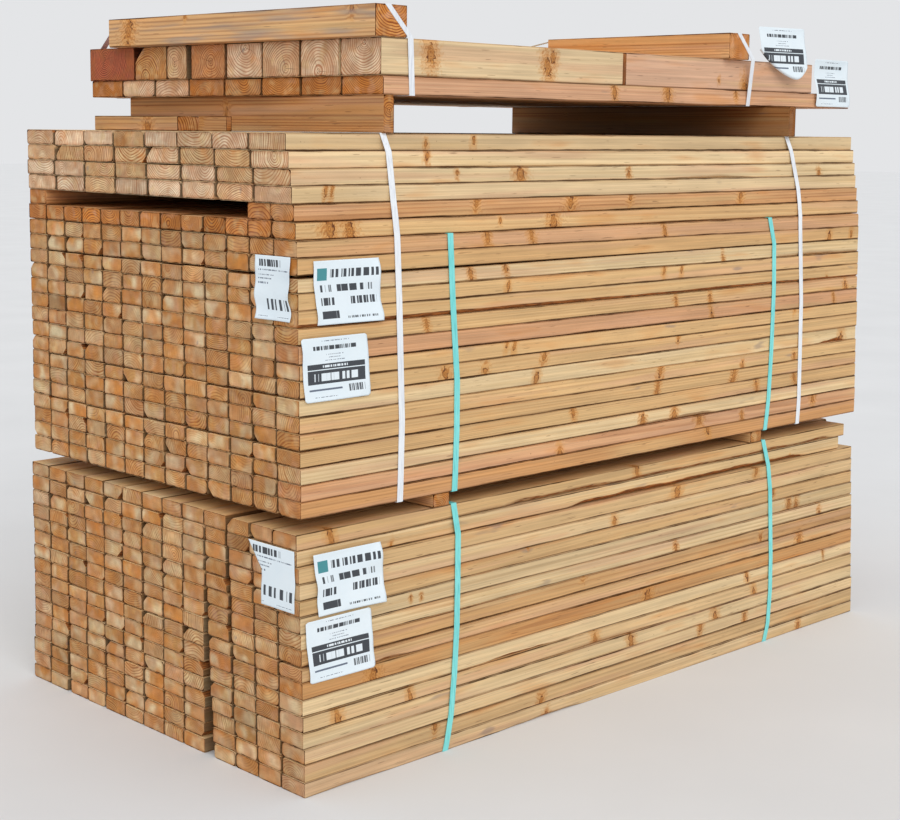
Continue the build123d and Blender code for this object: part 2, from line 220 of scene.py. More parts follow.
# Paper labels. Each mark is (left, right, foot, head, pitch, share) in thousandths of the
# page: a solid bar, or a row of blocks that stands for words where it has a pitch.
label_slants = {"product": 0.012, "order": 0.01, "standing": 0.018, "hanging": 0.014}
paper_grid = 40
paper_thickness = 0.0003
curl_radius = 0.007
curl_steps = 5
curl_angle = 1.5
end_label_depth = 0.01
fine_print = 30
product_marks = (
    (50, 200, 690, 880, 0, 0), (250, 970, 730, 860, 90, 780), (80, 260, 510, 620, 90, 780),
    (340, 920, 510, 620, 83, 780), (80, 300, 300, 420, 75, 760), (540, 940, 300, 420, 80, 760),
    (70, 350, 90, 210, 95, 800), (460, 920, 80, 115, 35, 620),
)
order_marks = (
    (280, 720, 935, 948, 30, 600), (160, 820, 800, 865, 52, 720), (360, 620, 720, 732, 28, 600),
    (400, 580, 675, 687, 28, 600), (340, 640, 630, 642, 28, 600), (70, 940, 500, 585, 0, 0),
    (70, 940, 270, 485, 0, 0), (80, 580, 165, 195, 0, 0), (670, 930, 110, 225, 21, 550),
    (100, 500, 60, 70, 30, 600),
)
order_gaps = (
    (300, 680, 525, 560, 50, 700), (170, 830, 315, 435, 85, 780),
)
end_marks = (
    (100, 720, 830, 940, 105, 800), (80, 940, 765, 785, 40, 650), (80, 520, 690, 705, 40, 650),
    (80, 460, 630, 650, 50, 700), (80, 380, 555, 585, 60, 750), (220, 950, 160, 330, 150, 780),
    (80, 340, 50, 60, 40, 600), (620, 940, 50, 60, 40, 600),
)
ink = (18, 22, 34)
grey_ink = (88, 98, 118)
teal_ink = (38, 132, 140)

floor_half = 60.0


# Shader nodes

def srgb(red, green, blue):
    """A colour given as the screen shows it, from 0 to 255, in the shader's own terms."""
    parts = []
    for value in (red, green, blue):
        value /= 255.0
        parts.append(value / 12.92 if value <= 0.04045 else ((value + 0.055) / 1.055) ** 2.4)
    return (*parts, 1.0)


def add_object(name, data):
    made = bpy.data.objects.new(name, data)
    bpy.context.scene.collection.objects.link(made)
    return made


def feed(socket, value):
    """Leads a wire to a socket, or sets the socket to a plain value."""
    if isinstance(value, Wire):
        socket.id_data.links.new(value.socket, socket)
    else:
        socket.default_value = value


def add_node(tree, kind, inputs=(), **settings):
    """A new node. Its inputs are pairs of a socket's name or number and a value."""
    node = tree.nodes.new(kind)
    for key, value in settings.items():
        setattr(node, key, value)
    for key, value in inputs:
        feed(node.inputs[key], value)
    return node


class Wire:
    """An output of a shader node. Wires that carry numbers are reckoned with as numbers
    are, and vectors have calls of their own."""

    def __init__(self, socket):
        self.socket = socket

    def to(self, kind, inputs, output=0, **settings):
        """An output of a new node in the same tree."""
        node = add_node(self.socket.id_data, kind, inputs, **settings)
        return Wire(node.outputs[output])

    def reckon(self, operation, *others):
        return self.to("ShaderNodeMath", enumerate((self, *others)), operation=operation)

    def __rsub__(self, other):
        return self.to("ShaderNodeMath", enumerate((other, self)), operation="SUBTRACT")

    __add__ = partialmethod(reckon, "ADD")
    __sub__ = partialmethod(reckon, "SUBTRACT")
    __mul__ = partialmethod(reckon, "MULTIPLY")
    __truediv__ = partialmethod(reckon, "DIVIDE")
    __abs__ = partialmethod(reckon, "ABSOLUTE")
    at_least = partialmethod(reckon, "MAXIMUM")
    at_most = partialmethod(reckon, "MINIMUM")
    above = partialmethod(reckon, "GREATER_THAN")
    below = partialmethod(reckon, "LESS_THAN")
    sine = partialmethod(reckon, "SINE")

    def ramp(self, low, high, start=0.0, end=1.0):
        """start below low, end above high, and a smooth change between them."""
        return self.to("ShaderNodeMapRange", enumerate((self, low, high, start, end)),
                       interpolation_type="SMOOTHSTEP")

    def blend(self, one, two):
        """One number where this wire is 0 and another where it is 1."""
        return self.to("ShaderNodeMix", zip((0, 2, 3), (self, one, two)), data_type="FLOAT")

    def mix(self, one, two):
        """One colour where this wire is 0 and another where it is 1."""
        return self.to("ShaderNodeMix", zip((0, 6, 7), (self, one, two)), 2,
                       data_type="RGBA")

    def tones(self, one, two):
        return self.mix(srgb(*one), srgb(*two))

    def vector(self, operation, *others):
        scalar = operation in ("DOT_PRODUCT", "LENGTH")
        return self.to("ShaderNodeVectorMath", enumerate((self, *others)),
                       "Value" if scalar else "Vector", operation=operation)

    length = partialmethod(vector, "LENGTH")

    def scaled(self, along, across, up):
        return self.vector("MULTIPLY", (along, across, up))

    def split(self):
        node = add_node(self.socket.id_data, "ShaderNodeSeparateXYZ", [(0, self)])
        return [Wire(output) for output in node.outputs]

    def noise(self, scale=1.0, detail=2.0, roughness=0.5, output="Fac"):
        inputs = {"Vector": self, "Scale": scale, "Detail": detail, "Roughness": roughness}
        return self.to("ShaderNodeTexNoise", inputs.items(), output)

    def stretched(self, along, across, detail=2.0, roughness=0.5):
        """Noise with its own scale along the board and across it."""
        return self.scaled(along, across, across).noise(1.0, detail, roughness)


def join(x, y, z):
    """A vector from three numbers, of which one at least is a wire."""
    wire = next(value for value in (x, y, z) if isinstance(value, Wire))
    return wire.to("ShaderNodeCombineXYZ", enumerate((x, y, z)))


def tinted(colour, *layers):
    """A colour with layers over it, each given by its share and its tone."""
    for share, tone in layers:
        colour = share.mix(colour, srgb(*tone))
    return colour


class Shader:
    """A material, with the inputs of its surface."""

    def __init__(self, name):
        self.material = bpy.data.materials.new(name)
        self.material.use_nodes = True
        self.tree = self.material.node_tree
        self.surface = self.tree.nodes["Principled BSDF"].inputs

    def attribute(self, name):
        node = add_node(self.tree, "ShaderNodeAttribute", attribute_name=name)
        return Wire(node.outputs["Vector"])

    def parts(self, name):
        """The three numbers of an attribute."""
        return self.attribute(name).split()

    def place(self):
        return Wire(add_node(self.tree, "ShaderNodeTexCoord").outputs["Object"])

    def finish(self, colour, roughness, gloss=0.5, bump=None):
        """Sets the surface. A bump is a height, its strength and its depth in metres."""
        feed(self.surface["Base Color"], colour)
        feed(self.surface["Roughness"], roughness)
        feed(self.surface["Specular IOR Level"], gloss)
        if bump:
            height = bump[0]
            inputs = zip(("Height", "Strength", "Distance"), bump)
            feed(self.surface["Normal"], height.to("ShaderNodeBump", inputs))
        return self.material


# Materials

def knot_distance(shader, name, along, radial):
    """Distance from the axis of one knot, as a share of the knot's own radius, and that
    radius. A knot runs out from the pith. Its attribute holds where it leaves the pith,
    and its direction across the board, as long as its radius."""
    start, towards_b, towards_c = shader.parts(name)
    direction = join(0.0, towards_b, towards_c)
    size = direction.length().at_least(1e-5)
    reach = radial.vector("DOT_PRODUCT", direction) / size
    aside = radial.vector("CROSS_PRODUCT", direction).split()[0] / size * knot_flatness
    ahead = along - start - reach * knot_tilt
    behind = reach.below(0.0) * knot_nowhere
    return join(ahead, aside, 0.0).length() / size + behind, size


def knots_and_rings(shader, place, along, radial, radius):
    """How near the nearest knot is, in its own radii, how dark the growth ring is, and how
    much the wood is heartwood. The rings swerve round the knots."""
    spacing, heart, contrast = shader.parts("log")
    crooked = place.noise(95.0, 1.0).ramp(0.3, 0.7, 0.8, 1.3)
    nearest = knot_nowhere
    for number in range(1, knot_count + 1):
        distance, size = knot_distance(shader, f"knot{number}", along, radial)
        distance = distance * crooked
        nearest = distance.at_most(nearest)
        falling = (distance * distance * -knot_fade).reckon("EXPONENT")
        radius = radius + size * knot_swell * falling

    # A wide pale band of early wood, then a narrow dark one of late wood
    seed_b = shader.parts("seed")[1]
    uneven = join(radius * 60.0, seed_b, 0.0).noise(1.0, 1.0)
    phase = (radius / spacing + uneven * 1.6).reckon("FRACT")
    late = phase.ramp(0.35, 0.88) * phase.ramp(0.9, 1.0, 1.0, 0.0)
    late = (late * contrast).at_most(1.15)
    ragged = place.stretched(2.5, 42.0, 1.0) * 0.05
    return nearest, late, (heart - (radius + ragged)).ramp(-0.038, 0.004)


def drift(place, scales, reach):
    """A vector across the board that wanders by up to half of reach."""
    wave = place.scaled(*scales).noise(1.0, 1.0, 0.5, "Color")
    return wave.vector("SUBTRACT", (0.5, 0.5, 0.5)).scaled(0.0, reach, reach)


def joint_shade_and_dirt(shader, place, end):
    """Painted shade of the joints between boards, with some dirt and torn fibres, along the
    rims of the ends and the arrises of the faces, and a painted brown shade inside the rims.
    Sides that face a neighbour get painted shade too."""
    across, up, in_joint_shade = shader.parts("section")
    half_wide, half_thick = shader.parts("half")[:2]
    to_side = half_wide - abs(across)
    to_level = half_thick - abs(up)
    frayed = place.stretched(14.0, 60.0) * 0.004
    uneven = place.stretched(3.0, 35.0).ramp(0.36, 0.62, 0.1, 1.0)

    # The ends have round corners, of a radius that wanders, and a dark rim of painted joint shade
    # inside them.
    radius = place.stretched(0.0, 17.0, 1.0).ramp(0.38, 0.66, *corner_radii)
    beside = (radius - to_side).at_least(0.0)
    above = (radius - to_level).at_least(0.0)
    inside = radius - join(beside, above, 0.0).length() - frayed
    near_side = to_side.ramp(0.0015, 0.006, 1.0, 0.0)
    at_end = (inside - near_side.blend(*rim_widths)).ramp(-0.0014, 0.0011, 1.0, 0.0)
    at_end = at_end * near_side.blend(uneven * 0.65 + 0.35, 1.0)
    on_face = to_side.at_least(to_level) - frayed
    at_face = on_face.ramp(-0.0004, 0.002, 0.92, 0.0) * uneven
    at_face = at_face.at_least(in_joint_shade * joint_side_shade)
    rim_brown_shade = inside.ramp(0.001, 0.01, 0.4, 0.0) * end
    return end.blend(at_face, at_end).at_most(1.0), rim_brown_shade


def checks_mask(shader, radial, radius, end):
    """Dark cracks that run out from the pith in the ends of the posts and timbers."""
    seed_a = shader.parts("seed")[0]
    half_thick = shader.parts("half")[1]
    across, up = radial.split()[1:]
    rays = (up.reckon("ARCTAN2", across) * 1.5 + seed_a).sine()
    narrow = radius.ramp(0.01, 0.055, 0.0009, 0.0001)
    crack = (abs(rays) * radius).below(narrow)
    return crack * half_thick.above(0.03) * end


def spots_mask(place, end):
    """Short dark dashes of pitch along the faces, and small dark dots."""
    dashes = place.stretched(16.0, 260.0, 1.0).ramp(0.7, 0.77, 0.0, 0.5)
    dots = place.stretched(95.0, 150.0, 1.0).ramp(0.79, 0.84, 0.0, 0.6)
    return dashes.at_least(dots) * (1.0 - end * 0.6)


def face_colour(late, heartwood, redness, bleached, orange):
    """The long faces, where the rings show faintly."""
    faint = late * 0.36
    colour = heartwood.mix(faint.tones(*face_tones["sapwood"]),
                           faint.tones(*face_tones["heartwood"]))
    red = (late * 0.5).tones(*face_tones["red"])
    colour = redness.ramp(0.1, 1.0, 0.0, 0.75).mix(colour, red)
    colour = tinted(colour, (redness.ramp(1.0, 1.5, 0.0, 0.75), (216, 176, 148)),
                    (bleached, (224, 200, 160)))
    warm = orange.at_least(0.0) * heartwood.ramp(0.0, 1.0, 0.72, 1.0)
    return warm.mix(colour, late.tones(*face_tones["orange"]))


def end_colour(late, heartwood, redness, bleached, orange):
    """The sawn ends, where the rings show strongly."""
    colour = heartwood.mix(late.tones(*end_tones["sapwood"]),
                           late.tones(*end_tones["heartwood"]))
    red = late.tones(*end_tones["red"])
    colour = redness.ramp(0.1, 1.0, 0.0, 0.7).mix(colour, red)
    colour = bleached.mix(colour, (late * 0.75).tones(*end_tones["bleached"]))
    return abs(orange).mix(colour, late.tones(*end_tones["orange"]))


def stained(colour, place, end, stain, contrast, redness):
    """Soft stains on the wood. The ends where the rings are faint are cloudier."""
    patch = place.stretched(1.3, 26.0, 1.0, 0.6)
    colour = tinted(colour, (stain.ramp(0.56, 0.75, 0.0, 0.45), (196, 128, 62)),
                    (patch.ramp(0.55, 0.7, 0.0, 0.4), (208, 160, 128)),
                    (patch.ramp(0.3, 0.43, 0.45, 0.0), (212, 178, 126)))
    clouds = place.scaled(*in_section).noise(14.0, 1.0, 0.5, "Color").split()
    cloudiness = (1.35 - contrast) * end * redness.ramp(0.9, 1.6, 1.0, 0.0)
    for cloud, (tone, most) in zip(clouds, cloud_tones):
        share = cloud.ramp(0.46, 0.66, 0.0, most) * cloudiness
        colour = tinted(colour, (share.at_least(0.0), tone))
    return colour


def knotted(colour, place, nearest, late):
    """Knots, with their dark rim, and the stained wood and dark grain lines round them."""
    flame = nearest.ramp(1.0, 3.2, 0.6, 0.0) * late.ramp(0.1, 0.75)
    colour = tinted(colour, (nearest.ramp(0.9, 3.8, 0.65, 0.0), (208, 146, 76)),
                    (flame, (174, 106, 48)))
    core = (nearest * 17.0).sine().ramp(-1.0, 1.0).tones(*knot_tones)
    colour = nearest.ramp(0.85, 1.1, 0.8, 0.0).mix(colour, core)
    rim = nearest.ramp(0.7, 0.95) * nearest.ramp(1.0, 1.2, 1.0, 0.0)
    broken = place.stretched(70.0, 70.0).ramp(0.42, 0.58)
    return tinted(colour, (rim * broken, (98, 52, 24)))


def barked(colour, place, bark):
    """Bark that is left on waney edges."""
    ragged = place.stretched(25.0, 160.0, 1.0, 0.6) * 0.9
    flakes = place.stretched(30.0, 260.0, 1.0, 0.7).ramp(0.3, 0.7)
    return (bark - ragged).ramp(-0.05, 0.12).mix(colour, flakes.tones(*bark_tones))


def lumber_texture(place, end):
    """Fibres along the faces, saw marks and speckle on the ends: their pattern and height."""
    fibre = place.stretched(6.0, 900.0, 1.0, 0.65)
    streak = place.stretched(1.1, 160.0, 2.0, 0.6)
    section = place.scaled(*in_section)
    speckle = section.noise(900.0, 1.0, 0.7)
    blotch = section.noise(38.0, 2.0, 0.6)
    kerf = place.scaled(0.0, 30.0, 700.0).noise(1.0, 1.0, 0.6)
    texture = end.blend(fibre * 0.35 + streak * 0.65,
                        speckle * 0.25 + kerf * 0.25 + blotch * 0.5)
    return texture, end.blend(fibre, kerf)


def lumber_material():
    """Green sawn softwood. Its rings lie round the pith of the log that each board was
    cut from, so that long faces and ends agree."""
    shader = Shader("lumber")
    grain = shader.attribute("grain")
    end, edge, bark = shader.parts("surface")
    shade, redness, weather = shader.parts("look")
    contrast = shader.parts("log")[2]
    orange = shader.parts("half")[2]
    along, across, up = grain.split()
    place = grain.vector("ADD", shader.attribute("seed"))
    wander = drift(place, (0.0, 18.0, 18.0), 0.016).vector(
        "ADD", drift(place, (0.6, 6.0, 6.0), 0.007))
    radial = join(0.0, across, up).vector("ADD", wander)
    radius = radial.length()
    nearest, late, heartwood = knots_and_rings(shader, place, along, radial, radius)

    bleached = redness.ramp(-1.0, -0.3, 0.7, 0.0)
    kind = (late, heartwood, redness, bleached, orange)
    colour = end.mix(face_colour(*kind), end_colour(*kind))
    stain = place.stretched(3.5, 22.0, 2.0, 0.55)
    colour = stained(colour, place, end, stain, contrast, redness)
    colour = redness.ramp(1.8, 2.2, 0.0, 0.9).mix(colour, late.tones(*deep_red_tones))
    grey_spot = place.stretched(5.0, 24.0).ramp(0.7, 0.78, 0.0, 0.55)
    colour = tinted(colour, (spots_mask(place, end), (104, 62, 36)),
                    (checks_mask(shader, radial, radius, end) * 0.75, (96, 48, 24)),
                    (grey_spot, (138, 122, 116)))
    colour = barked(knotted(colour, place, nearest, late), place, bark)
    # Grey weathering streaks, dirt with painted shade on the rounded arrises, and painted shade
    # of the joints: a brown tinge inside the end rims and the dark rims.
    streaks = place.stretched(3.0, 34.0, 2.0, 0.62).ramp(0.46, 0.66)
    rim, rim_brown_shade = joint_shade_and_dirt(shader, place, end)
    colour = tinted(colour, (streaks * weather * (1.0 - end), (138, 134, 132)),
                    (edge.ramp(0.0, 1.0) * 0.35, (150, 92, 48)),
                    (rim_brown_shade, (164, 98, 44)), (rim, (54, 22, 4)))

    texture, height = lumber_texture(place, end)
    level = texture.ramp(0.34, 0.66, 0.85, 1.11) * stain.ramp(0.3, 0.7, 0.92, 1.06)
    level = level * (shade * shade_step + 1.0)
    colour = colour.to("ShaderNodeVectorMath", [(0, colour), ("Scale", level)],
                       operation="SCALE")
    # No gloss where the joints have painted shade.
    return shader.finish(colour, texture.ramp(0.3, 0.7, 0.62, 0.82), (1.0 - rim) * 0.25,
                         (height, 0.5, 0.0012))


def strap_material(name, pale, deep, roughness):
    """Woven-look plastic band: long ribs, a fine cross pattern and scuffs."""
    shader = Shader(name)
    place = shader.place()
    x, unused, z = place.split()
    emboss = (x * 2600.0).sine() * (z * 1500.0).sine()
    scuff = place.scaled(220.0, 220.0, 18.0).noise(1.0, 4.0, 0.6)
    broad = place.scaled(4.0, 4.0, 5.0).noise()
    colour = tinted(scuff.ramp(0.45, 0.7).tones(pale, deep),
                    (broad.ramp(0.35, 0.7, 0.0, 0.35), deep))
    rough = scuff.ramp(0.3, 0.7, roughness, roughness + 0.2)
    return shader.finish(colour, rough, bump=(emboss + scuff, 0.25, 0.0003))


def mark_mask(across, up, mark):
    """1 inside one mark of a page, 0 elsewhere."""
    left, right, foot, head, pitch, share = (value / 1000 for value in mark)
    inside = across.above(left) * across.below(right)
    inside = inside * up.above(foot) * up.below(head)
    if not pitch:
        return inside
    strokes = join(across / (pitch * 0.42), 0.0, foot * 40.0).noise(1.0, 0.0)
    return inside * strokes.ramp(0.57 - 0.2 * share, 0.63 - 0.2 * share)


def paper_material(name, marks=(), gaps=(), first_tone=None):
    """Printed paper: plain marks on a bluish white sheet, with faint creases. Gaps are
    white blocks on the marks."""
    shader = Shader(name)
    across, up, unused = shader.parts("page")
    place = shader.place()
    cloud = place.noise(14.0, 3.0)
    fine = place.noise(160.0, 3.0, 0.6)
    colour = cloud.tones((218, 232, 241), (232, 241, 247))
    for number, mark in enumerate(marks):
        tone = ink if mark[3] - mark[2] > fine_print else grey_ink
        if number == 0 and first_tone:
            tone = first_tone
        colour = tinted(colour, (mark_mask(across, up, mark) * 0.94, tone))
    for gap in gaps:
        colour = tinted(colour, (mark_mask(across, up, gap), (226, 236, 243)))
    return shader.finish(colour, fine.ramp(0.3, 0.7, 0.48, 0.6), 0.35,
                         (cloud * 2.0 + fine, 0.25, 0.002))


# Boards

def islands(node):
    """The separate solids of a CAD node, each as an array of its corners."""
    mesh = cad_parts[node].data
    places = np.array([vertex.co for vertex in mesh.vertices])
    known = {}
    index = [known.setdefault(tuple(np.round(place * 1e5).astype(int)), len(known))
             for place in places]
    parent = list(range(len(known)))

    def top(item):
        while parent[item] != item:
            parent[item] = parent[parent[item]]
            item = parent[item]
        return item

    for polygon in mesh.polygons:
        first = top(index[polygon.vertices[0]])
        for vertex in polygon.vertices[1:]:
            parent[top(index[vertex])] = first
    groups = {}
    for vertex, item in enumerate(index):
        groups.setdefault(top(item), []).append(places[vertex])
    solids = [np.array(group) for group in groups.values()]
    return sorted(solids, key=lambda solid: (round(solid[:, 1].min(), 4),
                                             round(solid[:, 0].min(), 4)))


class Board:
    """One sawn board in its own axes: along it, across it and up, from its solid. number
    is its place in its course, counted from the front."""

    def __init__(self, node, corners, number, count):
        turn = pack_turn if node in pack_nodes else 0.0
        along = Vector((math.cos(turn), math.sin(turn), 0.0))
        across = Vector((-math.sin(turn), math.cos(turn), 0.0))
        if node in across_nodes:
            along, across = across, -along
        self.node = node
        self.number = number
        self.front = number == 0
        self.rear = number == count - 1
        self.unit, self.row = node.rsplit("_", 1)
        self.in_unit = self.unit in course_counts
        self.axes = np.array([along, across, Vector((0.0, 0.0, 1.0))])
        local = corners @ self.axes.T
        self.low, self.high = local.min(0), local.max(0)
        self.cuts = [self.cut_at(local, side, level) for side, level in board_corners]
        if self.in_unit:
            self.settle(int(self.row), count)
        self.length, self.wide, self.thick = self.high - self.low

    def cut_at(self, local, side, level):
        """How much is cut from a corner of the section."""
        limits = {-1: self.low, 1: self.high}
        flush = abs(local[:, 2] - limits[level][2]) < 1e-4
        return abs(local[flush, 1] - limits[side][1]).min()

    def settle(self, row, count):
        """Moves the joints with the neighbours a little, the same for both boards."""
        for limit, joint in ((self.high, row - 1), (self.low, row)):
            if 0 < joint < course_counts[self.unit]:
                random = Random(f"level {self.unit} {joint} {self.number}")
                limit[2] += random.uniform(-1, 1) * joint_steps
        for limit, joint in ((self.low, self.number), (self.high, self.number + 1)):
            if 0 < joint < count:
                random = Random(f"side {self.unit} {row} {joint}")
                limit[1] += random.uniform(-1, 1) * joint_shifts


def slow_waves(random, places, *waves):
    """About 1 along a board, with slow random waves. Each has its height and its reach."""
    total = np.ones(len(places))
    for height, reach in waves:
        wave = np.zeros(len(places))
        for part in range(1, 5):
            pace = 2.0 * math.pi * part / (reach * 4.0)
            wave += math.sin(random.uniform(0, 6.28)) * np.sin(
                places * pace * random.uniform(0.7, 1.3) + random.uniform(0, 6.28)) / part
        total += height * (wave / 1.6)
    return total


def section(board, cuts, bulges, inset):
    """The board's outline at each station, as arrays of (across, up) from its centre.
    cuts and bulges hold a value for each station and corner. A bulge of 1 is a round
    arris and one of 0 a flat cut."""
    rings = []
    for corner, (side, level) in enumerate(board_corners):
        cut = cuts[:, corner]
        tip = np.stack([side * (board.wide / 2 - inset), level * (board.thick / 2 - inset)], 1)
        on_side = tip - np.stack([0 * cut, level * cut], 1)
        on_level = tip - np.stack([side * cut, 0 * cut], 1)
        start, end = (on_side, on_level) if side == level else (on_level, on_side)
        for step in range(arc_steps + 1):
            share = step / arc_steps
            weight = (2 * share * (1 - share) * bulges[:, corner])[:, None]
            blend = (1 - share) ** 2 / ((1 - share) ** 2 + share ** 2)
            rings.append(weight * tip + (1 - weight) * (blend * start + (1 - blend) * end))
    return np.stack(rings, axis=1)


def worn_edge(random, board, corner, cut, places):
    """How much is cut from one edge at each station, and how round it is."""
    if cut > waney_cut:
        ragged = slow_waves(random, places, (0.35, 0.5), (0.12, 0.08))
        fade = np.clip(1.3 - places / (board.length * random.uniform(0.5, 1.6)), 0.0, 1.0)
        return np.maximum(1.3 * cut * ragged * fade, 0.002), 0.2
    ragged = slow_waves(random, places, (0.5, 0.7))
    outer = board.front and corner in front_corners or not board.in_unit
    wear = random.uniform(0.7, 1.7) if outer else random.uniform(1.2, 3.4)
    return np.maximum(cut * wear * ragged, 0.0008), 1.0


def board_edges(random, board):
    """Stations along a board, with how much is cut from each edge there, how round the
    edge is, and how much bark it keeps."""
    corner_cuts = list(board.cuts)
    waney = max(corner_cuts) > waney_cut
    outer = waney or board.front or board.rear
    # A worn edge of an inner board leaves a hole between four ends.
    hole = not outer and board.in_unit and random.random() < hole_share
    if hole:
        corner_cuts[random.randrange(4)] = random.uniform(*hole_cuts)
    torn_corner = random.choice(front_corners) if random.random() < torn_share else None
    torn_place = random.uniform(0.0, 1.0) * board.length
    torn_reach = random.uniform(0.05, 0.2) * board.length
    torn_cut = random.uniform(*torn_cuts)
    wane = front_wanes.get(board.node) if board.front else None
    fine = waney or wane or torn_corner is not None
    count = wane_stations if fine else hole_stations if hole else plain_stations
    inner = np.linspace(skin, board.length - skin, count)
    places = np.concatenate([[0.0], inner, [board.length]])
    cuts, bulges = np.empty((2, len(places), 4))
    for corner, cut in enumerate(corner_cuts):
        cuts[:, corner], bulges[:, corner] = worn_edge(random, board, corner, cut, places)
        if corner == torn_corner:
            near = np.clip(1.0 - np.abs(places - torn_place) / torn_reach, 0.0, 1.0)
            cuts[:, corner] += torn_cut * near ** 0.7 * slow_waves(random, places, (0.4, 0.1))
    bark = np.tile([float(cut > waney_cut) for cut in corner_cuts], (len(places), 1))
    if wane:
        depth, start, end, barky = wane
        inside = np.clip(np.minimum(places - start, end - places) / wane_fade, 0.0, 1.0)
        ragged = slow_waves(random, places, (0.5, 0.25), (0.4, 0.07))
        cuts[:, 0] += depth * inside * np.maximum(ragged, 0.0)
        bulges[:, 0] -= 0.7 * inside
        bark[:, 0] = np.maximum(bark[:, 0], barky * inside)
    return places, cuts, bulges, bark


def set_back(random, board, places, outline):
    """Sets each face a little back from its neighbours, by an amount that wanders."""
    beside = 0.0024 if board.in_unit else 0.0018
    above = 0.0032 if random.random() < 0.3 else 0.0012
    near = 0.0018 if board.front else beside
    kept = rear_share if board.rear else 1.0
    for axis, side, most in ((0, -1, near), (0, 1, beside), (1, 1, above)):
        shy = random.random() * most * slow_waves(random, places, (0.6, 2.0))
        if axis == 1:
            lower, reach = loose_courses.get(board.node, (0.0, 1.0))
            shy *= np.clip((board.length - places) / 0.3, 0.1, 1.0) * kept
            shy += lower * kept * np.clip(1.0 - places / reach, 0.0, 1.0)
        shy = np.maximum(shy, 0.0)[:, None]
        outline[:, :, axis] -= np.where(outline[:, :, axis] * side > 0, side * shy, 0.0)


def board_faces(count, around):
    """The faces round a board, and its two end faces, which have points of their own."""
    stations = np.arange(count - 1)[:, None] * around
    step = np.arange(around)[None, :]
    following = (step + 1) % around
    sides = np.stack([stations + step, stations + around + step,
                      stations + around + following, stations + following], axis=2)
    first = count * around
    near_cap = list(range(first, first + around))[::-1]
    far_cap = list(range(first + around, first + 2 * around))
    return sides.reshape(-1, 4)[:, ::-1], [near_cap, far_cap]


def log_for(random, board):
    """Where the pith lies in the section, how wide the rings are, how far the heartwood
    reaches and how strongly the rings show."""
    kind = random.random()
    if kind < 0.14 or board.thick > post_thick:
        pith = (random.uniform(-0.35, 0.35) * board.wide, random.uniform(-0.4, 0.4) * board.thick)
    elif kind < 0.75:
        pith = (random.gauss(0.0, 0.022), random.choice((-1, 1)) * random.uniform(0.022, 0.08))
    else:
        pith = (random.choice((-1, 1)) * random.uniform(0.05, 0.13),
                random.uniform(-0.07, 0.07))
    spacing = random.uniform(*ring_spacings)
    redness = node_looks.get(board.node, plain_look)[1]
    heart = random.uniform(0.02, 0.19) * min(1.0, max(0.2, 1.0 + 1.5 * redness))
    contrast = random.choice(ring_contrasts) * random.uniform(0.8, 1.0)
    if not board.in_unit or board.unit == "broad_course":
        contrast = random.uniform(1.0, 1.4)
    if board.node == "timber_near":
        pith, heart, contrast = timber_pith, timber_heart, timber_contrast
    return pith, (spacing, heart, contrast)


def knot_from(pith, place, target, size):
    """The attribute of a knot of some radius that comes out at a place of the section."""
    offset = Vector((target[0] - pith[0], target[1] - pith[1]))
    direction = offset.normalized() * size
    return place - knot_tilt * offset.length, direction.x, direction.y


def knots_for(random, board, pith):
    """Up to four knots that come out somewhere on the board's faces."""
    shown_side = 0.5 if board.node in across_nodes else -0.5
    shown = front_knots.get(board.unit, {}).get(board.row, ()) if board.front else ()
    knots = [knot_from(pith, place / 1000,
                       (shown_side * board.wide, height / 100 * board.thick), size / 1000)
             for place, height, size in shown]
    wanted = random.choice((1, 2, 3) if board.front else (0, 1, 2, 3))
    place = random.uniform(0.04, 0.96) * board.length
    for number in range(len(knots), knot_count):
        if number >= wanted:
            knots.append(no_knot)
            continue
        if number != 1 or random.random() < 0.6:
            place = random.uniform(0.04, 0.96) * board.length
        else:
            place += random.uniform(0.03, 0.09)
        if random.random() < (0.8 if board.front else 0.5):
            target = ((-0.5 if board.front else random.choice((-0.5, 0.5))) * board.wide,
                      random.uniform(-0.45, 0.45) * board.thick)
        else:
            target = (random.uniform(-0.45, 0.45) * board.wide,
                      random.choice((-0.5, 0.5)) * board.thick)
        size = random.uniform(0.003, 0.007) + random.random() ** 3 * 0.008
        knots.append(knot_from(pith, place, target, size))
    return knots


def look_for(random, board):
    """The shade, redness and weathering of a board, near those of its node."""
    shade, redness, weather = node_looks.get(board.node, plain_look)
    if board.front and board.node in front_looks:
        shade, redness, weather = *front_looks[board.node], 0.0
    fixed = piece_looks.get(board.node, {}).get(board.number)
    if fixed:
        return *fixed, 0.0
    outer = board.front or board.rear
    if outer and board.unit == "lower_course":
        shade -= 0.18
        redness -= 0.4
    shade += random.gauss(0.0, 0.14 if outer else 0.32)
    redness += random.gauss(-0.12, 0.12) if outer else max(-0.4, random.gauss(0.0, 0.28))
    return shade, redness, weather


def orange_for(random, board):
    """How orange a board's wood is. A share below 0 is for its ends alone."""
    share = orange_shares.get((board.node, board.number), orange_shares.get(board.node, 0.0))
    if share < 0.0:
        return share
    return min(1.0, max(0.0, share + random.gauss(0.0, 0.12)))


def joint_shaded_sides(board, across):
    """1 on the sides that face a neighbour, which get painted shade for the dark of the joint."""
    in_joint_shade = np.zeros(across.shape)
    if board.node != "partial_course":
        if not board.front:
            in_joint_shade[across < across.min(axis=1, keepdims=True) + side_depth] = 1.0
        if not board.rear:
            in_joint_shade[across > across.max(axis=1, keepdims=True) - side_depth] = 1.0
    return in_joint_shade


